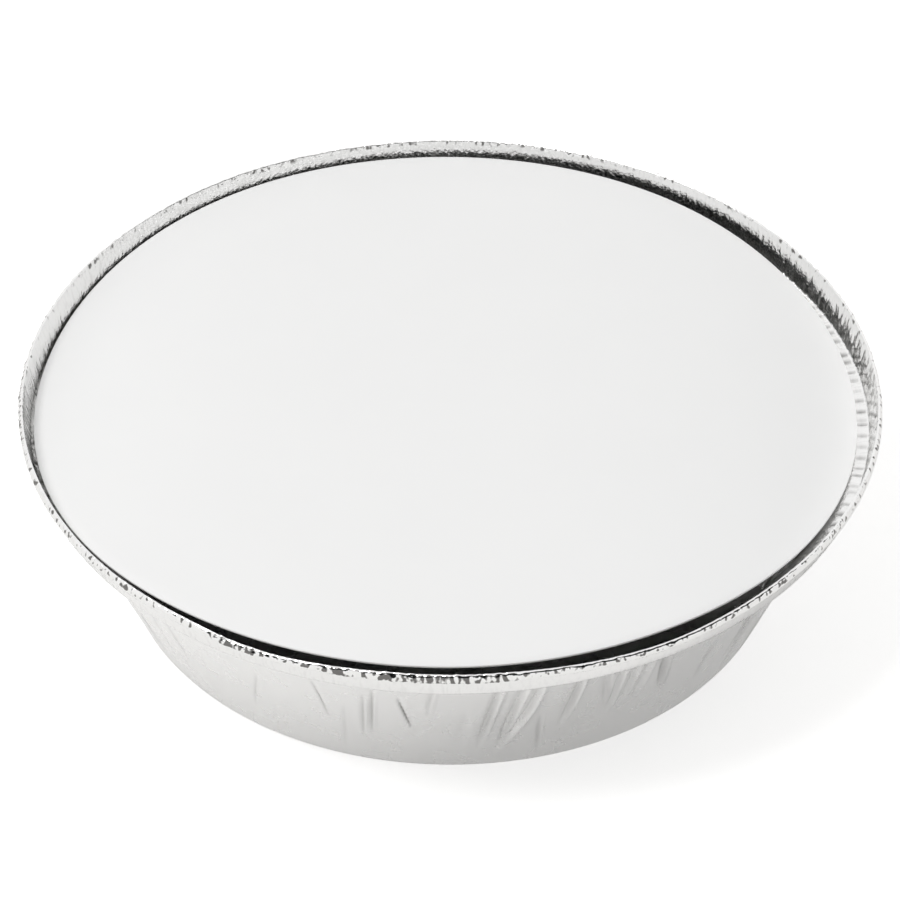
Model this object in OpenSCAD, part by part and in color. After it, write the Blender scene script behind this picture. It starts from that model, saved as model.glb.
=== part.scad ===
// Round pressed foil pie tin with a flat card lid lying loose inside its rim.
// One piece of thin foil makes the base, the sloping wall, the ledge, the flared flange and its hem.

/* [Pan] */
// Outside diameter across the rim
rim_d = 181.5; // [160:1:220]
// Height from the foot to the top of the rim
pan_h = 43.5; // [34:0.5:56]
// Diameter of the base at the foot of the wall
base_d = 134.5; // [110:0.5:144]
// Thickness of the foil
foil_t = 0.1; // [0.08:0.01:0.2]
// Radius of the bend between base and wall
base_bend_r = 3; // [2:0.5:5]
// Width of the flat foot round the raised middle of the base
foot_w = 8; // [6:0.5:14]
// How far the middle of the base is pressed up
base_step = 0.8; // [0.4:0.1:1.6]

/* [Rim] */
// Width of the ledge that the lid lies on
ledge_w = 4.3; // [3.2:0.1:6]
// Radius of the bend between wall and ledge
ledge_bend_r = 0.8; // [0.5:0.1:1.2]
// Height of the flange above the ledge
flange_h = 6.9; // [5.5:0.1:9]
// How far the flange leans outwards between ledge and top
flange_flare = 1.7; // [1:0.1:3]
// Radius of the bend between ledge and flange
flange_bend_r = 0.8; // [0.6:0.1:1.2]
// Height of the hem folded down outside the flange
hem_h = 2.3; // [1.8:0.1:4]
// Distance between the hem's pressed end and the flange, from middle to middle of the foil
hem_gap = 0.3; // [0.25:0.05:0.8]
// Radius of the fold at the top of the rim
fold_r = 0.4; // [0.2:0.05:0.5]

/* [Wrinkles] */
// Depth of the fine upright ribs in the wall
wall_rib = 0.35; // [0:0.05:0.6]
// Depth of the longer creases that run up the wall
crease_depth = 0.6; // [0:0.1:1.2]
// Number of creases round the sides and back
crease_n = 26; // [10:1:40]
// Depth of the crinkles in the flange and hem
rim_crinkle = 0.45; // [0:0.05:0.6]
// Depth of the dimples pressed down into the ledge
ledge_dimple = 0.3; // [0:0.05:0.6]
// How far the top of the rim dips between its high spots
rim_dip = 0.3; // [0:0.05:0.6]
// Seed that lays out the wrinkles
wrinkle_seed = 12; // [1:1:99]

/* [Lid] */
// Thickness of the card
card_t = 0.5; // [0.4:0.05:1]
// Gap between the card's edge and the foot of the flange
lid_clear = 1.75; // [1.6:0.05:2.6]
// How far the card has slid to the left
lid_shift = 1; // [0:0.05:1]
// How far the card has slid to the back
lid_back = 0.8; // [0:0.05:0.8]
// How far the card's left and right ends droop below its middle
card_droop = 4.3; // [1:0.1:4.6]
// How far the card's front edge stands above its back edge
card_tip = 1.1; // [0:0.1:1.2]
// Gap between the drooping ends and the ledge
seat_gap = 0.25; // [0.15:0.05:0.3]

/* [Hidden] */

foil_colour = [0.80, 0.81, 0.82];
card_colour = [0.95, 0.95, 0.94];

// Upright columns of points round the foil, and rows up its wall
columns = 132;
wall_rows = 5;
// Points round each bend of the section and round the fold
bend_points = 3;
// Strips that the bent card is made of
card_strips = 16;
// The card droops with this power of the distance from its middle
droop_power = 4;
// Run of the small slope round the raised middle of the base
step_run = 1.2;

// Heights and radii of the middle of the foil
low_z = foil_t / 2;
top_z = pan_h - foil_t / 2;
ledge_z = pan_h - flange_h;
hem_r = rim_d / 2 - foil_t / 2 - rim_crinkle / 2;
flange_top = [hem_r - 2 * fold_r, top_z - fold_r];
flange_foot = [flange_top[0] - flange_flare, ledge_z];
wall_top = [flange_foot[0] - ledge_w, ledge_z];
wall_foot = [base_d / 2, low_z];
panel_r = base_d / 2 - base_bend_r - foot_w;
flange_slope = (flange_top - flange_foot) / (flange_top[1] - flange_foot[1]);
hem_end = flange_top - (hem_h - fold_r) * flange_slope + [hem_gap, 0];

// Creases at the front, as the angle at the wall's foot and at its top
front_creases = [[-125, -119], [-109, -111], [-94, -99], [-85, -81], [-80, -75], [-72, -68], [-63, -61], [-58, -55]];
// The other creases are spread round this arc and lean by up to this angle
crease_arc = [-50, 230];
crease_lean = 3;
crease_half_width = 1.8;

function unit(v) = v / norm(v);
function turn(a) = a > 180 ? a - 360 : a < -180 ? a + 360 : a;
function arc(c, r, from, sweep, n) =
    [for (k = [0 : n - 1]) c + r * [cos(from + sweep * k / (n - 1)), sin(from + sweep * k / (n - 1))]];

// Points round corner p of the section, which comes from a and goes on to b
function bend(a, p, b, r) =
    let (u = unit(a - p), v = unit(b - p), half = acos(u * v) / 2)
    let (c = p + unit(u + v) * r / sin(half), s = p + u * r / tan(half) - c, e = p + v * r / tan(half) - c)
    let (from = atan2(s[1], s[0]))
    arc(c, r, from, turn(atan2(e[1], e[0]) - from), bend_points);

base_bend = bend([0, low_z], wall_foot, wall_top, base_bend_r);
ledge_bend = bend(wall_foot, wall_top, flange_foot, ledge_bend_r);
flange_bend = bend(wall_top, flange_foot, flange_top, flange_bend_r);
wall_from = base_bend[bend_points - 1];
wall_to = ledge_bend[0];

// Section of the foil from the middle of the base to the end of the hem
section = concat(
    [[0, low_z + base_step], [panel_r, low_z + base_step], [panel_r + step_run, low_z]],
    base_bend,
    [for (k = [1 : wall_rows]) wall_from + (wall_to - wall_from) * k / (wall_rows + 1)],
    ledge_bend,
    flange_bend,
    [(flange_bend[bend_points - 1] + flange_top) / 2],
    arc([hem_r - fold_r, flange_top[1]], fold_r, 180, -180, bend_points),
    [hem_end]);
last = len(section) - 1;

// Square to the foil at a point of the section
function across(k) =
    let (a = section[max(k - 1, 0)], b = section[min(k + 1, last)], d = unit(b - a))
    k == 0 ? [0, 1] : [-d[1], d[0]];

// Chance heights, one for each column, between -1 and 1
rib_chance = rands(-1, 1, columns, wrinkle_seed);
rim_chance = rands(-1, 1, columns, wrinkle_seed + 1);
foot_chance = rands(-1, 1, columns, wrinkle_seed + 2);
place_chance = rands(-1, 1, crease_n, wrinkle_seed + 3);
lean_chance = rands(-1, 1, crease_n, wrinkle_seed + 4);

crease_pitch = (crease_arc[1] - crease_arc[0]) / crease_n;
side_creases = [for (i = [0 : crease_n - 1])
    let (mid = crease_arc[0] + crease_pitch * (i + 0.5 + place_chance[i] / 3))
    [mid - crease_lean * lean_chance[i], mid + crease_lean * lean_chance[i]]];
creases = concat(front_creases, side_creases);

// Share of the way up the wall, up the rim, and how strongly each part is wrinkled there
function share(z, from, to) = min(max((z - from) / (to - from), 0), 1);
function wall_swell(z) = sin(180 * share(z, wall_from[1], wall_to[1]));

// How deep all creases together go at angle a
function crease_sum(a, f) =
    [for (c = creases) 1] * [for (c = creases) exp(-pow(turn(a - c[0] - (c[1] - c[0]) * f) / crease_half_width, 2))];

// How far the foil is pushed outwards in column j at point p of the section
function push(j, p) =
    let (f = share(p[1], wall_from[1], wall_to[1]), g = share(p[1], ledge_z + flange_bend_r, top_z))
    p[0] < wall_top[0] + ledge_w / 2
        ? wall_swell(p[1]) * (wall_rib / 2 * rib_chance[j] - crease_depth * crease_sum(360 * j / columns, f))
        : g * rim_crinkle / 2 * ((1 - g) * foot_chance[j] + g * rim_chance[j]);

// How far the foil is let down there, along the ledge and the top of the rim
function sink(j, p) =
    let (g = share(p[1], ledge_z + flange_bend_r, top_z))
    abs(p[1] - ledge_z) < 0.01
        ? ledge_dimple * max(rib_chance[j], 0)
        : g * g * rim_dip * (1 + foot_chance[j]) / 2;

// Ring k of one face of the foil, side 1 on the inside and -1 on the outside
function ring(k, side) = [for (j = [0 : columns - 1])
    let (a = 360 * j / columns, p = section[k], q = p + side * foil_t / 2 * across(k), r = q[0] + push(j, p))
    [r * cos(a), r * sin(a), q[1] - sink(j, p)]];

module foil_pan() {
    inside = [for (k = [1 : last]) each ring(k, 1)];
    outside = [for (k = [1 : last]) each ring(k, -1)];
    n = columns;
    side = len(inside);
    centres = [[0, 0, section[0][1] + foil_t / 2], [0, 0, section[0][1] - foil_t / 2]];
    // Two triangles between columns j and j + 1 of the rings that start at a and b
    function strip(a, b) = [for (j = [0 : n - 1]) let (i = (j + 1) % n)
        each [[a + j, b + j, b + i], [a + j, b + i, a + i]]];
    function flipped(faces) = [for (f = faces) [f[2], f[1], f[0]]];
    color(foil_colour)
        polyhedron(
            points = concat(inside, outside, centres),
            faces = concat(
                [for (k = [0 : last - 2]) each flipped(strip(k * n, (k + 1) * n))],
                [for (k = [0 : last - 2]) each strip(side + k * n, side + (k + 1) * n)],
                flipped(strip((last - 1) * n, side + (last - 1) * n)),
                [for (j = [0 : n - 1]) [2 * side, (j + 1) % n, j]],
                [for (j = [0 : n - 1]) [2 * side + 1, side + j, side + (j + 1) % n]]),
            convexity = 8);
}

lid_r = flange_foot[0] - lid_clear;
card_end_z = ledge_z + foil_t / 2 + seat_gap;
function card_z(x) = card_droop * (1 - pow(abs(x) / lid_r, droop_power));

module board_lid() {
    // The strips run a little past the round edge that trims them
    reach = lid_r * 1.01;
    xs = [for (k = [0 : card_strips]) reach * (2 * k / card_strips - 1)];
    color(card_colour)
        translate([-lid_shift, lid_back, card_end_z])
            rotate([-asin(card_tip / (2 * lid_r)), 0, 0])
            intersection() {
                translate([0, 0, -card_t])
                    cylinder(h = card_droop + 3 * card_t, r = lid_r, $fn = 180);
                rotate([90, 0, 0])
                    linear_extrude(height = 2 * reach, center = true)
                        polygon(concat(
                            [for (x = xs) [x, card_z(x)]],
                            [for (k = [card_strips : -1 : 0]) [xs[k], card_z(xs[k]) + card_t]]));
            }
}

foil_pan();
board_lid();
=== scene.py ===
import math
import random
import bpy
import bmesh
from bisect import bisect_left, bisect_right
from mathutils import Matrix, Vector, noise


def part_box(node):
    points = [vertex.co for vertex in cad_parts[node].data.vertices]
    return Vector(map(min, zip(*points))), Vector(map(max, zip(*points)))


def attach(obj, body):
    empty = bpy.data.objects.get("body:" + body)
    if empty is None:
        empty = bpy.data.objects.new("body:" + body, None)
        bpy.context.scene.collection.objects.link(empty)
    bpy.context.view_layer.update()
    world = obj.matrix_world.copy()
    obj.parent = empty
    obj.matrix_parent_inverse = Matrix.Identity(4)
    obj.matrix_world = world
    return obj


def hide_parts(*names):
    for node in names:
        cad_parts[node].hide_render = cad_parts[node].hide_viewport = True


# Foil pie tin with a card lid lying loose in its rim. Lengths in metres, angles in degrees.
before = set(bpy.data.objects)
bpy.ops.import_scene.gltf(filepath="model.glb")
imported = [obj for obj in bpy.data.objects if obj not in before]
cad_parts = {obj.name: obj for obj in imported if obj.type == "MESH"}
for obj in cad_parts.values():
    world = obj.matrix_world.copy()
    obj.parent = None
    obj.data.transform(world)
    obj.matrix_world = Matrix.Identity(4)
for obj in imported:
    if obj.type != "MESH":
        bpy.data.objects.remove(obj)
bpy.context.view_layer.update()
mm = 0.001
weldGap = 0.001 * mm
panLow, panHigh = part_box("foil_pan")
lidLow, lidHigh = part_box("board_lid")
print("frame loaded, pan", round((panHigh.x - panLow.x) / mm, 1), "mm across")

scene = bpy.context.scene
scene.view_settings.view_transform = "Standard"

pan = {
    "rimRadius": (panHigh.x - panLow.x) / 2,
    "height": panHigh.z,
    "baseRadius": 67.25 * mm,
    "panelRadius": 56.25 * mm,
    "panelRise": 0.8 * mm,
    "panelSlope": 1.2 * mm,
    "baseBend": 3 * mm,
    "ledgeWidth": 4.3 * mm,
    "ledgeBend": 0.8 * mm,
    "flangeHeight": 6.9 * mm,
    "flangeFlare": 1.7 * mm,
    "flangeBend": 0.8 * mm,
    "rimSlack": 0.22 * mm,
    "crownWidth": 0.8 * mm,
    "crownBend": 0.15 * mm,
    "shoulderDrop": 1.7 * mm,
    "hemHeight": 2.3 * mm,
    "hemGap": 0.3 * mm,
    "foil": 0.1 * mm,
    # points in each bend of the section and on each straight between two bends
    "baseBendPoints": 4,
    "wallPoints": 11,
    "ledgeBendPoints": 3,
    "ledgePoints": 2,
    "flangeBendPoints": 4,
    "flangePoints": 5,
    "crownPoints": 2,
    "shoulderPoints": 7,
    "hemPoints": 1,
    "columns": 600,
    "rimCuts": 1,
    # the front of the wall, between these angles, has a finer net
    "frontFrom": -130,
    "frontTo": -48,
    "frontColumnCuts": 2,
    "frontRowCuts": 1,
}


def roundCorner(before, corner, after, radius, count):
    # points of an arc that rounds one corner of the section
    u = (before - corner).normalized()
    v = (after - corner).normalized()
    half = u.angle(v) / 2
    centre = corner + (u + v).normalized() * radius / math.sin(half)
    start = corner + u * radius / math.tan(half) - centre
    end = corner + v * radius / math.tan(half) - centre
    sweep = start.angle_signed(end)
    return [centre + Matrix.Rotation(-sweep * k / (count - 1), 2) @ start for k in range(count)]


def between(a, b, count):
    # points on the straight from a to b, without its two ends
    return [a.lerp(b, k / (count + 1)) for k in range(1, count + 1)]


def quarterTurn(first, steps):
    # the angles that divide a quarter turn into equal steps
    return [math.pi / 2 * k / steps for k in range(first, steps + 1)]


def foilSection(p):
    # half section of the foil's middle, from the centre of the base out to the end of the hem,
    # and the number of the point where each stretch of it ends
    halfFoil = p["foil"] / 2
    ledgeZ = p["height"] - p["flangeHeight"]
    hemRadius = p["rimRadius"] - halfFoil - p["rimSlack"]
    topZ = p["height"] - halfFoil
    flangeTop = Vector((hemRadius - p["crownWidth"], topZ - p["crownBend"]))
    flangeFoot = Vector((flangeTop.x - p["flangeFlare"], ledgeZ))
    wallTop = Vector((flangeFoot.x - p["ledgeWidth"], ledgeZ))
    wallFoot = Vector((p["baseRadius"], halfFoil))
    centre = Vector((0, halfFoil + p["panelRise"]))
    panelEdge = Vector((p["panelRadius"], halfFoil + p["panelRise"]))
    panelFoot = Vector((p["panelRadius"] + p["panelSlope"], halfFoil))
    baseArc = roundCorner(panelFoot, wallFoot, wallTop, p["baseBend"], p["baseBendPoints"])
    ledgeArc = roundCorner(wallFoot, wallTop, flangeFoot, p["ledgeBend"], p["ledgeBendPoints"])
    flangeArc = roundCorner(wallTop, flangeFoot, flangeTop, p["flangeBend"], p["flangeBendPoints"])
    # a tight bend on the inside of the crown, then a wide shoulder that turns down into the hem
    crownX = flangeTop.x + p["crownBend"]
    fold = [Vector((crownX - p["crownBend"] * math.cos(t), flangeTop.y + p["crownBend"] * math.sin(t)))
            for t in quarterTurn(0, p["crownPoints"])]
    wide, deep = hemRadius - crownX, p["shoulderDrop"]
    fold += [Vector((crownX + wide * math.sin(t), topZ - deep * (1 - math.cos(t))))
             for t in quarterTurn(1, p["shoulderPoints"])]
    # the hem is pressed back against the flange at its end
    slope = (flangeTop - flangeFoot) / (flangeTop.y - flangeFoot.y)
    hemEnd = flangeTop - slope * (p["hemHeight"] - p["crownBend"]) + Vector((p["hemGap"], 0))
    stretches = {
        "base": [centre, panelEdge, panelFoot] + baseArc,
        "wall": between(baseArc[-1], ledgeArc[0], p["wallPoints"]) + ledgeArc,
        "ledge": between(ledgeArc[-1], flangeArc[0], p["ledgePoints"]),
        "flange": flangeArc + between(flangeArc[-1], flangeTop, p["flangePoints"]),
        "fold": fold,
        "hem": between(fold[-1], hemEnd, p["hemPoints"]) + [hemEnd],
    }
    section = []
    ends = {}
    for name, points in stretches.items():
        section += points
        ends[name] = len(section) - 1
    # the straight wall ends where its bend to the ledge starts
    ends["straight"] = ends["wall"] - len(ledgeArc) + 1
    return section, ends


wrinkles = {
    "seed": 12,
    # soft waves of the wall: depth, how close they are round the wall and up it
    "wallWaves": ((0.25 * mm, 2.4, 0.9), (0.08 * mm, 26, 1.3)),
    # a crease has a soft ridge beside it: its height as a share of the depth, its place in half widths
    "ridge": 0.95,
    "ridgeAt": 1.1,
    "creaseReach": 4,
    # grooves pressed across the ledge: half widths and reach in degrees
    "grooves": 168,
    "groove": 0.34 * mm,
    "grooveShift": 0.35,
    "grooveHalf": (0.25, 0.5),
    "grooveStrength": (0.3, 1.2),
    "grooveReach": 2,
    # painted shade in the ledge grooves: how much for their depth, and at most
    "grooveShadeShare": 0.65,
    "grooveShadeMost": 0.7,
    "pleat": 0.12 * mm,
    "pleatPitch": 1.3 * mm,
    "pleatSway": 1.4,
    "crinkle": 0.11 * mm,
    "nick": 0.12 * mm,
    # sharp folds: depth on the crown, size, how many ways they run, how far noise bends them
    "crumple": 0.5 * mm,
    "crumpleSize": 1.5 * mm,
    "crumpleWays": 5,
    "crumpleBend": 0.7,
    "crumpleBendScale": 0.6,
    # share of the crown's folds everywhere, changed by noise, and added where it is crushed
    "crumpleShare": (0.55, 0.3, 0.5),
    # share of painted dark specks (painted shade and painted dark reflection) everywhere, taken off at the
    # back, changed by noise, and added where it is crushed
    "shadeSpeckShare": (0.42, 0.22, 0.3, 0.6),
    # depths below the crown, in millimetres, where the band of painted dark specks starts, is full, fades
    # and ends
    "shadeSpeckBand": (0.05, 0.25, 0.9, 1.4),
    # how much lower the band of painted dark specks ends where the crown is crushed
    "shadeSpeckBandCrushed": 1.1,
    "rimWave": 0.2 * mm,
    # where the flange bulges in at mid-height, or out: angle, half width in degrees, depth
    "bulges": ((122, 16, 0.34 * mm), (148, 16, 0.34 * mm), (184, 12, -0.25 * mm)),
    # where the rim dips at the front: angle, half width in degrees, depth
    "rimDips": ((-115, 11, 0.95 * mm), (-60, 13, 0.95 * mm), (-143, 12, 0.2 * mm)),
    # where the crown is crushed most: angle, half width in degrees, how much
    "crushed": ((-120.3, 2, 1), (-116.9, 1, 1), (-104.5, 2, 0.7), (-94, 9, 0.85), (-84, 4, 0.7),
                (178, 8, 0.8)),
}

# creases of the front wall: angle at the foot, at the top, share of the height where it starts and ends,
# sideways bow and half width in degrees, depth in millimetres, how much painted shade darkens its groove
frontCreases = [
    (-126.1, -117.8, 0.26, 0.70, 0.0, 0.40, 0.36, 0.2),
    (-108.4, -111.3, 0.42, 0.84, 0.2, 0.38, 0.48, 0.4),
    (-108.3, -105.1, 0.08, 0.62, 0.0, 0.50, 0.26, 0.1),
    (-104.9, -102.4, 0.26, 0.78, 0.0, 0.36, 0.48, 0.3),
    (-103.5, -101.0, 0.30, 0.86, 0.0, 0.38, 0.58, 0.4),
    (-94.0, -98.9, 0.42, 0.77, 0.0, 0.34, 0.70, 0.95),
    (-96.0, -91.9, 0.56, 0.94, 0.0, 0.40, 0.40, 0.2),
    (-88.0, -87.4, 0.20, 0.60, 0.0, 0.80, 0.32, 0.0),
    (-86.1, -82.3, 0.18, 0.99, 0.0, 0.56, 0.95, 0.2),
    (-82.6, -78.4, 0.22, 0.97, -0.2, 0.60, 1.15, 0.12),
    (-83.6, -75.9, 0.12, 0.93, 1.1, 0.58, 1.15, 0.12),
    (-74.9, -76.6, 0.06, 0.52, 0.0, 0.40, 0.50, 0.2),
    (-72.8, -70.3, 0.36, 0.98, 0.2, 0.54, 1.05, 0.2),
    (-63.0, -67.0, 0.38, 0.94, 0.0, 0.60, 0.75, 0.05),
    (-64.4, -63.7, 0.34, 0.94, 0.0, 0.50, 0.90, 0.1),
    (-62.2, -61.3, 0.46, 0.97, 0.0, 0.50, 0.85, 0.1),
    (-60.0, -59.0, 0.38, 0.92, 0.0, 0.60, 0.65, 0.05),
    (-52.8, -57.2, 0.40, 0.92, 0.0, 0.55, 0.95, 0.25),
]
# creases of the sides and the back, laid out by chance between these angles, in the same measures
sideCreases = {
    "from": -48,
    "to": 228,
    "count": 46,
    "place": (0.1, 0.9),
    "lean": 3,
    "start": (0.03, 0.4),
    "shortest": 0.35,
    "bow": 0.5,
    "halfWidth": (0.55, 1.0),
    "depth": (0.2, 0.5),
    "paintedShade": 0.15,
}


def share(value, low, high):
    # 0 up to low, 1 from high on
    return min(max((value - low) / (high - low), 0), 1)


def smooth(value, low, high):
    t = share(value, low, high)
    return t * t * (3 - 2 * t)


def allCreases(side, seed):
    rng = random.Random(seed)
    names = ("foot", "top", "start", "end", "bow", "half", "depth", "paintedShade")
    made = [dict(zip(names, c)) for c in frontCreases]
    pitch = (side["to"] - side["from"]) / side["count"]
    for k in range(side["count"]):
        mid = side["from"] + pitch * (k + rng.uniform(*side["place"]))
        lean = rng.uniform(-side["lean"], side["lean"]) / 2
        start = rng.uniform(*side["start"])
        made.append({
            "foot": mid - lean,
            "top": mid + lean,
            "start": start,
            "end": rng.uniform(start + side["shortest"], 1),
            "bow": rng.uniform(-side["bow"], side["bow"]),
            "half": rng.uniform(*side["halfWidth"]),
            "depth": rng.uniform(*side["depth"]),
            "paintedShade": side["paintedShade"],
        })
    return made


def creaseOffset(c, turn, up):
    # how far a place on the wall lies from the crease, in half widths of it
    along = (up - c["start"]) / (c["end"] - c["start"])
    path = c["foot"] + (c["top"] - c["foot"]) * up + c["bow"] * math.sin(math.pi * along)
    return along, ((turn - path + 180) % 360 - 180) / c["half"]


def creasePush(creases, turn, up, w):
    # a groove with a soft ridge beside it, so that one flank is lit and the other is not, and the painted
    # shade that darkens the groove's colour
    push = 0
    paintedShade = 0
    for c in creases:
        if not c["start"] < up < c["end"]:
            continue
        along, off = creaseOffset(c, turn, up)
        if abs(off) < w["creaseReach"]:
            fade = math.sin(math.pi * along) ** 0.7
            ridge = w["ridge"] * math.exp(-(off - w["ridgeAt"]) ** 2)
            push += fade * c["depth"] * mm * (ridge - math.exp(-off * off))
            # painted shade: the groove's colour darkens towards its middle
            paintedShade = max(paintedShade, fade * c["paintedShade"] * math.exp(-2 * off * off))
    return push, paintedShade


# the vector noise that bends the folds has a seed of its own, and without it changes at every run
noise.seed_set(wrinkles["seed"])
foldRng = random.Random(wrinkles["seed"])
foldWays = [Vector([foldRng.gauss(0, 1) for axis in range(3)]).normalized()
            for k in range(wrinkles["crumpleWays"])]


def zigzag(x):
    # straight folds up and down between -1 and 1, one for each whole step of x
    return 4 * abs(x - math.floor(x + 0.5)) - 1


def crumple(point, w):
    # sharp folds between flat facets: zigzags along a few ways, each closer than the last, bent by noise
    q = point / w["crumpleSize"]
    q = q + w["crumpleBend"] * noise.noise_vector(q * w["crumpleBendScale"])
    return sum(zigzag(q.dot(way) * (0.8 + 0.25 * k)) for k, way in enumerate(foldWays)) / len(foldWays)


def ledgeGrooves(w):
    # grooves pressed across the ledge: angle, half width in degrees, strength
    rng = random.Random(w["seed"] + 1)
    pitch = 360 / w["grooves"]
    shift = w["grooveShift"]
    return [(pitch * (k + rng.uniform(-shift, shift)) - 180, rng.uniform(*w["grooveHalf"]),
             rng.uniform(*w["grooveStrength"])) for k in range(w["grooves"])]


def groovePush(grooves, turn, reach):
    # how deep the grooves near this angle are there
    near = grooves[bisect_left(grooves, (turn - reach,)):bisect_right(grooves, (turn + reach,))]
    return sum(strength * math.exp(-((turn - at) / half) ** 2) for at, half, strength in near)


def bell(turn, at, halfWidth):
    # 1 at the middle angle, falling softly to both sides of it
    return math.exp(-(((turn - at + 180) % 360 - 180) / halfWidth) ** 2)


def refineMesh(bm, rows, section, ends, p):
    # the rim gets twice the columns, and the front of the wall three times the columns and twice the rows
    steep, flat, tall, slack = 0.8, 0.01 * mm, 0.5 * mm, 0.1 * mm
    ring = [e for e in bm.edges if e.verts[0][rows] == e.verts[1][rows] >= ends["wall"]]
    bmesh.ops.subdivide_edges(bm, edges=ring, cuts=p["rimCuts"], use_grid_fill=True)
    wallFrom, wallTo = section[ends["base"]], section[ends["straight"]]
    front = []
    for face in bm.faces:
        mid = face.calc_center_median()
        turn = math.degrees(math.atan2(mid.y, mid.x))
        if wallFrom.y < mid.z < wallTo.y and p["frontFrom"] < turn < p["frontTo"]:
            if abs(face.normal.z) < steep and math.hypot(mid.x, mid.y) < wallTo.x:
                front.append(face)
    level = [e for face in front for e in face.edges if abs(e.verts[0].co.z - e.verts[1].co.z) < flat]
    made = bmesh.ops.subdivide_edges(bm, edges=list(dict.fromkeys(level)), cuts=p["frontColumnCuts"],
                                     use_grid_fill=True)
    upright = [e for e in made["geom"] if isinstance(e, bmesh.types.BMEdge)]
    upright += [e for face in front if face.is_valid for e in face.edges]
    upright = [e for e in dict.fromkeys(upright)
               if e.is_valid and abs(e.verts[0].co.z - e.verts[1].co.z) > tall]
    bmesh.ops.subdivide_edges(bm, edges=upright, cuts=p["frontRowCuts"], use_grid_fill=True)
    # the new points lie on straight edges, and are moved out to the round again
    for v in bm.verts:
        ray = Vector((v.co.x, v.co.y, 0))
        if wallFrom.y < v.co.z < wallTo.y and ray.length < wallTo.x + slack:
            radius = wallFrom.x + (wallTo.x - wallFrom.x) * share(v.co.z, wallFrom.y, wallTo.y)
            v.co += ray.normalized() * (radius - ray.length)
        elif v[rows] > ends["wall"]:
            v.co += ray.normalized() * (section[v[rows]].x - ray.length)


def wrinkleWall(v, ray, turn, up, creases, grooveShade, w):
    # the waves fade out at the foot and at the top, and the creases have their own ends
    swell = math.sin(math.pi * up) ** 0.8 if up > 0 else 0
    push = sum(depth * noise.noise(ray * around + Vector((0, 0, up * rise)))
               for depth, around, rise in w["wallWaves"])
    crease, paintedShade = creasePush(creases, turn, up, w)
    v.co += ray * (push * swell + crease)
    # the creases' painted shade is kept on the point for the material
    v[grooveShade] = paintedShade


def wrinkleFlange(v, ray, turn, upRim, row, groove, ends, p, w):
    # pleats that start at the flange's foot and fade out upwards, most of them on the right,
    # and crinkles and nicks on its far half, most of them at the right
    upright = Vector((ray.x, ray.y, 0.2 * upRim)) * p["rimRadius"]
    bent = math.radians(turn) * p["rimRadius"] / w["pleatPitch"]
    bent += w["pleatSway"] * noise.noise(upright / (3 * w["pleatPitch"]))
    uneven = 0.55 + 0.6 * noise.noise(ray * 23)
    deep = uneven * (0.3 + 0.7 * smooth(ray.x, -0.2, 0.6))
    middle = math.sin(math.pi * upRim)
    bulge = sum(depth * bell(turn, at, half) for at, half, depth in w["bulges"]) * middle
    far = smooth(ray.y, -0.75, -0.3)
    right = smooth(ray.x, -0.3, 0.3)
    rightEnd = smooth(ray.x, 0.75, 0.93)
    crinkled = far * middle ** 0.5
    crinkled *= 0.55 + 0.45 * right + 0.9 * rightEnd
    push = w["pleat"] * deep * (1 - upRim) ** 1.3 * zigzag(bent)
    push += w["crinkle"] * crinkled * crumple(v.co, w)
    push += w["nick"] * far * groove * (1 - upRim) ** 0.4
    rise = smooth(row, ends["ledge"], ends["ledge"] + 3)
    v.co += ray * (push * rise - bulge)


def wrinkleHem(v, ray, turn, row, section, ends, shadeSpecks, p, w):
    # the crushed crown and hem; the inner bend of the crown and the hem's end stay smooth
    before, after = section[row - 1], section[min(row + 1, len(section) - 1)]
    along = (after - before).normalized()
    out = ray * -along.y + Vector((0, 0, along.x))
    crushed = min(sum(much * bell(turn, at, half) for at, half, much in w["crushed"]), 1)
    everywhere, uneven, more = w["crumpleShare"]
    strength = min(everywhere + uneven * noise.noise(ray * 9) + more * crushed, 1)
    strength *= smooth(row, ends["flange"] + 1, ends["flange"] + 4)
    strength *= 1 - share(row, ends["fold"] - 2, ends["hem"])
    fold = crumple(Vector((v.co.x, v.co.y, v.co.z * 0.5)), w)
    below = (p["height"] - v.co.z) / mm
    v.co += out * w["crumple"] * strength * fold
    # share of the creased band below the crown that is taken up by painted dark specks, painted shade and
    # painted dark reflection
    start, full, fade, end = w["shadeSpeckBand"]
    lower = w["shadeSpeckBandCrushed"] * crushed
    band = smooth(below, start, full) * (1 - smooth(below, fade + lower, end + lower))
    everywhere, back, uneven, more = w["shadeSpeckShare"]
    behind = smooth(ray.y, -0.2, 0.2)
    v[shadeSpecks] = band * (everywhere - back * behind + uneven * noise.noise(ray * 17) + more * crushed)


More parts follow.
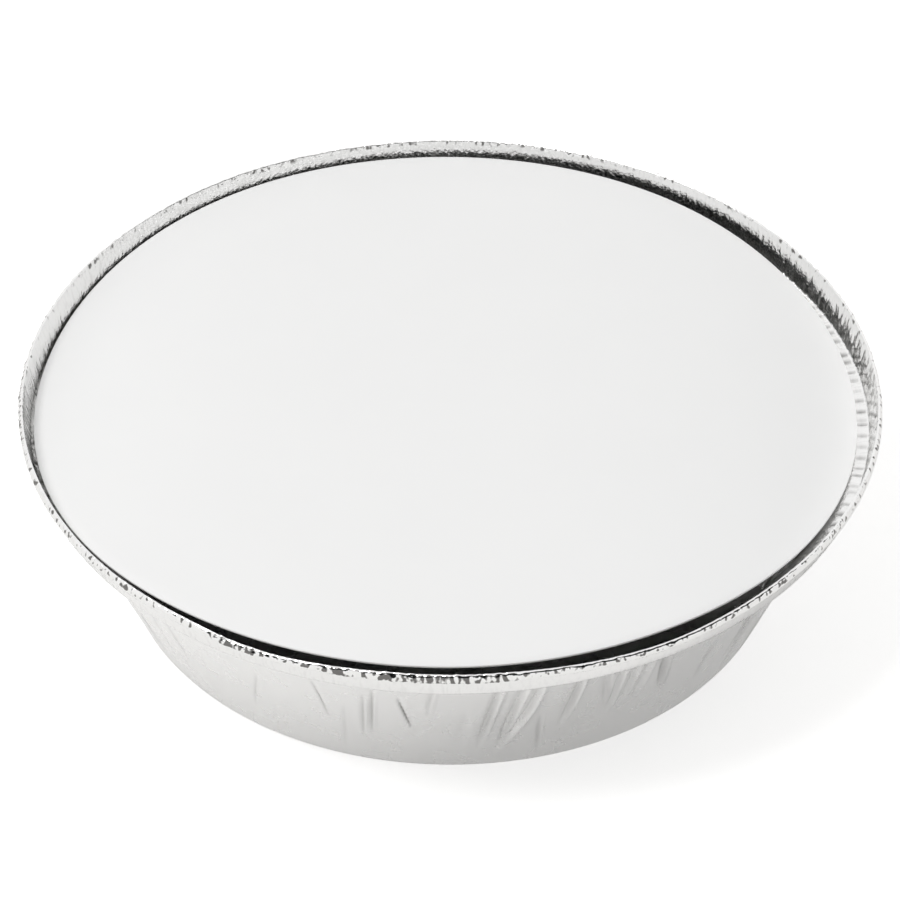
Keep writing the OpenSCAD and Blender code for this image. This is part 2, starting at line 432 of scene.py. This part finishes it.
def wrinkleFoil(bm, layers, section, ends, creases, p, w):
    rows, grooveShade, crimpAndShade, shadeSpecks = layers
    ledgeZ = p["height"] - p["flangeHeight"]
    wallFrom, wallTo = section[ends["base"]], section[ends["straight"]]
    grooves = ledgeGrooves(w)
    for v in bm.verts:
        row = v[rows]
        ray = Vector((v.co.x, v.co.y, 0))
        if ray.length < section[ends["base"]].x:
            continue
        ray.normalize()
        turn = math.degrees(math.atan2(ray.y, ray.x))
        if v.co.z < wallTo.y:
            wrinkleWall(v, ray, turn, share(v.co.z, wallFrom.y, wallTo.y), creases, grooveShade, w)
            continue
        if row <= ends["wall"]:
            continue
        upRim = share(v.co.z, ledgeZ, p["height"])
        # how strongly the finish crimps the foil there, and how much painted shade its crimp hollows get
        high = smooth(upRim, 0.1, 0.8)
        right = smooth(ray.x, -0.3, 0.6)
        far = smooth(ray.y, -0.72, -0.35)
        sides = smooth(abs(ray.x), 0.75, 0.97)
        v[crimpAndShade] = (1 - 0.65 * high) * (0.85 - 0.4 * right)
        v[crimpAndShade] *= (0.2 + 0.8 * far) * (1 - 0.6 * sides)
        nick = groovePush(grooves, turn, w["grooveReach"])
        if row <= ends["ledge"] + 1:
            # the grooves start at the wall and run out in the bend to the flange
            groove = nick * smooth(row, ends["wall"], ends["wall"] + 2)
            groove *= 1 - 0.6 * share(row, ends["ledge"], ends["ledge"] + 2)
            v.co.z -= w["groove"] * groove
            # painted shade that darkens the ledge grooves
            v[grooveShade] = min(w["grooveShadeShare"] * groove, w["grooveShadeMost"])
        if row <= ends["flange"]:
            wrinkleFlange(v, ray, turn, upRim, row, nick, ends, p, w)
        else:
            wrinkleHem(v, ray, turn, row, section, ends, shadeSpecks, p, w)
        # the whole rim waves a little up and down, and dips in places
        broad, fine = noise.noise(ray * 3), noise.noise(ray * 11)
        lift = w["rimWave"] * (broad + 0.5 * fine)
        lift -= sum(depth * bell(turn, at, half) for at, half, depth in w["rimDips"])
        v.co.z += lift * upRim * upRim


def layUv(bm, rows, section, ends, p):
    # the foil as a flat sheet: u runs round the rim, v along the section
    lengths = [0]
    for a, b in zip(section, section[1:]):
        lengths.append(lengths[-1] + (b - a).length)
    first, last = ends["base"], ends["straight"]
    wall = lengths[last] - lengths[first]

    def along(v):
        # the wall's finer rows lie between the rows of the section
        if first <= v[rows] <= last:
            return lengths[first] + wall * share(v.co.z, section[first].y, section[last].y)
        return lengths[v[rows]]

    uv = bm.loops.layers.uv.new("foilSheet")
    for face in bm.faces:
        mid = face.calc_center_median()
        base = math.atan2(mid.y, mid.x)
        for loop in face.loops:
            turn = math.atan2(loop.vert.co.y, loop.vert.co.x)
            turn = base + (turn - base + math.pi) % (2 * math.pi) - math.pi
            loop[uv].uv = (turn * p["rimRadius"], along(loop.vert))


def makeFoilPan(p):
    section, ends = foilSection(p)
    creases = allCreases(sideCreases, wrinkles["seed"])
    bm = bmesh.new()
    rows = bm.verts.layers.int.new("row")
    # painted shade of creases and grooves, and where painted dark specks go, kept on the points for the
    # material
    grooveShade = bm.verts.layers.float.new("grooveShade")
    crimpAndShade = bm.verts.layers.float.new("crimpAndShade")
    shadeSpecks = bm.verts.layers.float.new("shadeSpecks")
    points = []
    for k, s in enumerate(section):
        v = bm.verts.new((s.x, 0, s.y))
        v[rows] = k
        points.append(v)
    edges = [bm.edges.new(pair) for pair in zip(points, points[1:])]
    bmesh.ops.spin(bm, geom=points + edges, cent=(0, 0, 0), axis=(0, 0, 1), angle=2 * math.pi,
                   steps=p["columns"], use_merge=True, use_duplicate=False)
    bmesh.ops.remove_doubles(bm, verts=bm.verts, dist=weldGap)
    refineMesh(bm, rows, section, ends, p)
    layUv(bm, rows, section, ends, p)
    wrinkleFoil(bm, (rows, grooveShade, crimpAndShade, shadeSpecks), section, ends, creases, p, wrinkles)
    bmesh.ops.recalc_face_normals(bm, faces=bm.faces)
    mesh = bpy.data.meshes.new("foilPan")
    bm.to_mesh(mesh)
    bm.free()
    mesh.shade_smooth()
    piece = bpy.data.objects.new("foilPan", mesh)
    scene.collection.objects.link(piece)
    wall = piece.modifiers.new("foil thickness", "SOLIDIFY")
    wall.thickness = p["foil"]
    wall.offset = 0
    return piece


card = {
    "radius": (lidHigh.x - lidLow.x) / 2,
    "centre": (lidHigh + lidLow) / 2,
    "thickness": 0.5 * mm,
    "tip": 1.1 * mm,
    "droopPower": 4,
    "edgeBevel": 0.12 * mm,
    "wave": 0.06 * mm,
    "waveSize": 30 * mm,
    "rings": 40,
    "columns": 360,
}
# the card is tipped to the front, and its left and right ends droop to the ledge
card["middle"] = lidHigh.z - card["tip"] / 2
card["droop"] = card["middle"] - lidLow.z - card["thickness"]


def makeCardLid(c):
    bm = bmesh.new()
    half = [(0, 0), (c["radius"], 0), (c["radius"], -c["thickness"]), (0, -c["thickness"])]
    points = [bm.verts.new((r, 0, z)) for r, z in half]
    edges = [bm.edges.new(pair) for pair in zip(points, points[1:])]
    for edge in (edges[0], edges[2]):
        bmesh.ops.subdivide_edges(bm, edges=[edge], cuts=c["rings"] - 1)
    bmesh.ops.spin(bm, geom=bm.verts[:] + bm.edges[:], cent=(0, 0, 0), axis=(0, 0, 1), angle=2 * math.pi,
                   steps=c["columns"], use_merge=True, use_duplicate=False)
    bmesh.ops.remove_doubles(bm, verts=bm.verts, dist=weldGap)
    bmesh.ops.recalc_face_normals(bm, faces=bm.faces)
    rim = [e for e in bm.edges if e.calc_face_angle(0) > math.radians(60)]
    bmesh.ops.bevel(bm, geom=rim, offset=c["edgeBevel"], affect="EDGES", segments=2, profile=0.5,
                    material=-1)
    for v in bm.verts:
        drop = c["droop"] * abs(v.co.x / c["radius"]) ** c["droopPower"]
        wave = c["wave"] * noise.noise(Vector((v.co.x, v.co.y, 0)) / c["waveSize"])
        tip = c["tip"] / 2 * v.co.y / c["radius"]
        v.co += Vector((c["centre"].x, c["centre"].y, c["middle"] - drop - tip + wave - c["wave"]))
    mesh = bpy.data.meshes.new("cardLid")
    bm.to_mesh(mesh)
    bm.free()
    mesh.shade_smooth()
    piece = bpy.data.objects.new("cardLid", mesh)
    scene.collection.objects.link(piece)
    return piece


def newMaterial(name):
    material = bpy.data.materials.new(name)
    material.use_nodes = True
    tree = material.node_tree
    return material, tree, tree.nodes["Principled BSDF"]


def addMath(tree, operation, *sources):
    # each source is a number or another node's output
    node = tree.nodes.new("ShaderNodeMath")
    node.operation = operation
    for source, socket in zip(sources, node.inputs):
        if isinstance(source, (int, float)):
            socket.default_value = source
        else:
            tree.links.new(source, socket)
    return node.outputs[0]


def addRange(tree, source, start, end, low=0, high=1, soft=False):
    # the result runs from low to high while the source runs from start to end
    node = tree.nodes.new("ShaderNodeMapRange")
    if soft:
        node.interpolation_type = "SMOOTHSTEP"
    for name, value in (("From Min", start), ("From Max", end), ("To Min", low), ("To Max", high)):
        node.inputs[name].default_value = value
    tree.links.new(source, node.inputs["Value"])
    return node.outputs["Result"]


def addNoise(tree, places, scale, detail):
    node = tree.nodes.new("ShaderNodeTexNoise")
    node.inputs["Scale"].default_value = scale
    node.inputs["Detail"].default_value = detail
    tree.links.new(places, node.inputs["Vector"])
    return node.outputs["Fac"]


def addAttribute(tree, name):
    node = tree.nodes.new("ShaderNodeAttribute")
    node.attribute_name = name
    return node.outputs["Fac"]


def addBump(tree, pattern, depth):
    node = tree.nodes.new("ShaderNodeBump")
    node.inputs["Distance"].default_value = depth
    tree.links.new(pattern, node.inputs["Height"])
    return node


def tintShader(tree, shader, amount, colour, other):
    # the base colour goes from one colour to the other with the amount
    node = tree.nodes.new("ShaderNodeMix")
    node.data_type = "RGBA"
    node.inputs["A"].default_value = colour
    node.inputs["B"].default_value = other
    tree.links.new(amount, node.inputs["Factor"])
    tree.links.new(node.outputs["Result"], shader.inputs["Base Color"])


foilFinish = {
    "colour": (0.89, 0.887, 0.88, 1),
    # the colour that painted shade and painted dark reflection mix in: grooves, crimp hollows and specks
    "paintedShadeColour": (0.06, 0.055, 0.05, 1),
    # the dull wall turns into the burnished rim between these heights
    "wallRoughness": 0.28,
    "rimRoughness": 0.06,
    "rimHeights": (36 * mm, 40 * mm),
    "blotch": 0.06,
    "blotchScale": 140,
    "blotchDetail": 4,
    # noise patterns: scale, stretch upwards, detail, on the foil as a flat sheet or in space, bump depth
    "patterns": {
        "streak": (1800, 0.06, 2, "sheet", 0.007 * mm),
        # the crimp pattern also places the painted shade in its hollows
        "crimpAndShade": (1200, 0.3, 1.5, "sheet", 0.65 * mm),
        "speckle": (1700, 0.8, 2, "space", 0.45 * mm),
        # the speck pattern has no bump: it only places the painted dark specks
        "shadeSpeck": (1000, 0.6, 0.6, "sheet", 0),
    },
    # painted shade in the crimp hollows: the crimp pattern is darkened between these two levels, and at
    # most this much
    "crimpShadeLevels": (0.5, 0.36),
    "crimpShadeMost": 0.35,
    # the painted dark specks open above this level of their pattern, softly, and earlier where the speck
    # share is higher
    "shadeSpeckAt": 0.63,
    "shadeSpeckSoft": 0.1,
    "shadeSpeckReach": 0.2,
    "shadeSpeckDark": 0.85,
    "shadeSpeckEdge": 0.125,
}


def makeFoilMaterial(f):
    material, tree, shader = newMaterial("pressedFoil")
    nodes, links = tree.nodes, tree.links
    shader.inputs["Metallic"].default_value = 1
    sheet = nodes.new("ShaderNodeUVMap")
    sheet.uv_map = "foilSheet"
    places = {"sheet": sheet.outputs["UV"], "space": nodes.new("ShaderNodeTexCoord").outputs["Object"]}

    # blotches make the roughness a little uneven
    split = nodes.new("ShaderNodeSeparateXYZ")
    links.new(places["space"], split.inputs[0])
    dull = addRange(tree, split.outputs["Z"], *f["rimHeights"], f["wallRoughness"], f["rimRoughness"])
    blotch = addNoise(tree, places["space"], f["blotchScale"], f["blotchDetail"])
    vary = addRange(tree, blotch, 0, 1, -f["blotch"], f["blotch"])
    links.new(addMath(tree, "ADD", dull, vary), shader.inputs["Roughness"])

    # fine upright drawing lines everywhere, then the crimped and speckled foil of the ledge and rim
    crimpAndShade = addAttribute(tree, "crimpAndShade")
    normal = None
    patterns = {}
    for name, (scale, upright, detail, where, depth) in f["patterns"].items():
        stretch = nodes.new("ShaderNodeMapping")
        stretch.inputs["Scale"].default_value = (1, upright, 1)
        links.new(places[where], stretch.inputs["Vector"])
        patterns[name] = addNoise(tree, stretch.outputs["Vector"], scale, detail)
        if not depth:
            continue
        bump = addBump(tree, patterns[name], depth)
        if normal:
            links.new(normal, bump.inputs["Normal"])
            links.new(crimpAndShade, bump.inputs["Strength"])
        normal = bump.outputs["Normal"]
    links.new(normal, shader.inputs["Normal"])

    # painted shade and painted dark reflection: the specks, the grooves and the hollows between the crimps
    # darken the base colour
    crimpShade = addRange(tree, patterns["crimpAndShade"], *f["crimpShadeLevels"], 0, f["crimpShadeMost"])
    crimpShadeMasked = addMath(tree, "MULTIPLY", crimpShade, crimpAndShade)
    shadeSpecks = addAttribute(tree, "shadeSpecks")
    raised = addMath(tree, "MULTIPLY_ADD", shadeSpecks, f["shadeSpeckReach"], patterns["shadeSpeck"])
    opened = addRange(tree, raised, f["shadeSpeckAt"], f["shadeSpeckAt"] + f["shadeSpeckSoft"], 0, f["shadeSpeckDark"])
    speckShade = addMath(tree, "MULTIPLY", opened, addRange(tree, shadeSpecks, 0, f["shadeSpeckEdge"]))
    paintedShade = addAttribute(tree, "grooveShade")
    for other in (crimpShadeMasked, speckShade):
        paintedShade = addMath(tree, "MAXIMUM", paintedShade, other)
    tintShader(tree, shader, paintedShade, f["colour"], f["paintedShadeColour"])
    return material


cardFinish = {
    "colour": (0.94, 0.94, 0.935, 1),
    "shade": (0.92, 0.92, 0.915, 1),
    "cloudScale": 60,
    "cloudDetail": 5,
    "roughness": 0.55,
    "gloss": 0.3,
    "fibre": 0.006 * mm,
    "fibreScale": 2500,
    "fibreDetail": 3,
}


def makeCardMaterial(c):
    material, tree, shader = newMaterial("whiteBoard")
    shader.inputs["Roughness"].default_value = c["roughness"]
    shader.inputs["Specular IOR Level"].default_value = c["gloss"]
    places = tree.nodes.new("ShaderNodeTexCoord").outputs["Object"]
    cloud = addNoise(tree, places, c["cloudScale"], c["cloudDetail"])
    tintShader(tree, shader, cloud, c["shade"], c["colour"])
    bump = addBump(tree, addNoise(tree, places, c["fibreScale"], c["fibreDetail"]), c["fibre"])
    tree.links.new(bump.outputs["Normal"], shader.inputs["Normal"])
    return material


foilPan = makeFoilPan(pan)
foilPan.data.materials.append(makeFoilMaterial(foilFinish))
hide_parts("foil_pan")
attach(foilPan, "root")
print("foil pan made,", len(foilPan.data.polygons), "faces in one skin")

cardLid = makeCardLid(card)
cardLid.data.materials.append(makeCardMaterial(cardFinish))
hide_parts("board_lid")
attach(cardLid, "root")
print("card lid made,", len(cardLid.data.polygons), "faces")

studio = {
    "floorSize": 6,
    "floorColour": (0.71, 0.705, 0.695, 1),
    "floorRoughness": 0.9,
    "floorGlow": 0.65,
    "floorShine": 0.28,
    "domeBright": 1.0,
    "domeDark": 0.03,
    # the dark part of the room: along each axis, where it starts and where it is full
    "room": (("Y", -0.05, -0.45), ("Z", 0.2, 0.32), ("Z", 0.86, 0.76)),
    "roomTurn": -25,
    "domeLight": 0.65,
    "keyPlace": (-1.12, -0.52, 2.24),
    "keySize": 1.2,
    "keyPower": 31,
}


def makeFloor(s):
    bm = bmesh.new()
    bmesh.ops.create_grid(bm, x_segments=1, y_segments=1, size=s["floorSize"] / 2)
    mesh = bpy.data.meshes.new("floor")
    bm.to_mesh(mesh)
    bm.free()
    floor = bpy.data.objects.new("floor", mesh)
    scene.collection.objects.link(floor)
    material, tree, shader = newMaterial("paleFloor")
    shader.inputs["Base Color"].default_value = s["floorColour"]
    shader.inputs["Roughness"].default_value = s["floorRoughness"]
    shader.inputs["Specular IOR Level"].default_value = 0
    shader.inputs["Emission Color"].default_value = (1, 1, 1, 1)
    # the glow lifts the floor to white for the camera, less so in the foil, and leaves the shadow on it
    path = tree.nodes.new("ShaderNodeLightPath")
    shine = addMath(tree, "MULTIPLY", path.outputs["Is Glossy Ray"], s["floorShine"])
    glow = addMath(tree, "MULTIPLY_ADD", path.outputs["Is Camera Ray"], s["floorGlow"], shine)
    tree.links.new(glow, shader.inputs["Emission Strength"])
    mesh.materials.append(material)


def makeDome(s):
    # a white tent above and at the sides, with the unlit room behind the camera
    world = bpy.data.worlds.new("studioDome")
    scene.world = world
    world.use_nodes = True
    tree = world.node_tree
    nodes, links = tree.nodes, tree.links
    shade = nodes["Background"]
    shade.inputs["Color"].default_value = (1, 1, 1, 1)
    way = nodes.new("ShaderNodeTexCoord")
    turned = nodes.new("ShaderNodeMapping")
    turned.inputs["Rotation"].default_value = (0, 0, math.radians(s["roomTurn"]))
    links.new(way.outputs["Generated"], turned.inputs["Vector"])
    split = nodes.new("ShaderNodeSeparateXYZ")
    links.new(turned.outputs["Vector"], split.inputs[0])
    room = 1
    for axis, start, full in s["room"]:
        room = addMath(tree, "MULTIPLY", room, addRange(tree, split.outputs[axis], start, full, soft=True))
    level = addRange(tree, room, 0, 1, s["domeBright"], s["domeDark"])
    # the camera sees plain white, and matt surfaces get less of the tent than the foil shows
    path = nodes.new("ShaderNodeLightPath")
    matt = addRange(tree, path.outputs["Is Diffuse Ray"], 0, 1, 1, s["domeLight"])
    strength = nodes.new("ShaderNodeMix")
    strength.inputs["B"].default_value = 1
    links.new(path.outputs["Is Camera Ray"], strength.inputs["Factor"])
    links.new(addMath(tree, "MULTIPLY", level, matt), strength.inputs["A"])
    links.new(strength.outputs["Result"], shade.inputs["Strength"])


def makeLamp(name, place, size, power):
    data = bpy.data.lights.new(name, "AREA")
    data.shape = "DISK"
    data.size = size
    data.energy = power
    lamp = bpy.data.objects.new(name, data)
    lamp.location = place
    lamp.rotation_euler = (-Vector(place)).to_track_quat("-Z", "Y").to_euler()
    scene.collection.objects.link(lamp)


makeFloor(studio)
makeDome(studio)
makeLamp("keyLamp", studio["keyPlace"], studio["keySize"], studio["keyPower"])
print("studio made")

view = {
    "distance": 2.7,
    "elevation": 38.75,
    "roll": 0.17,
    "aimHeight": 30.3 * mm,
    "aimX": -0.05 * mm,
    "pixelsPerMetre": 4767.5,
    "framePixels": 900,
    "sensor": 36,
}


def makeCamera(c):
    data = bpy.data.cameras.new("photoCamera")
    data.sensor_width = c["sensor"]
    data.lens = c["pixelsPerMetre"] * c["distance"] / c["framePixels"] * c["sensor"]
    camera = bpy.data.objects.new("photoCamera", data)
    tilt = math.radians(c["elevation"])
    aim = Vector((c["aimX"], 0, c["aimHeight"]))
    camera.location = aim + c["distance"] * Vector((0, -math.cos(tilt), math.sin(tilt)))
    look = (aim - camera.location).to_track_quat("-Z", "Y").to_matrix()
    camera.rotation_euler = (look @ Matrix.Rotation(math.radians(c["roll"]), 3, "Z")).to_euler()
    scene.collection.objects.link(camera)
    scene.camera = camera


makeCamera(view)
print("camera placed")
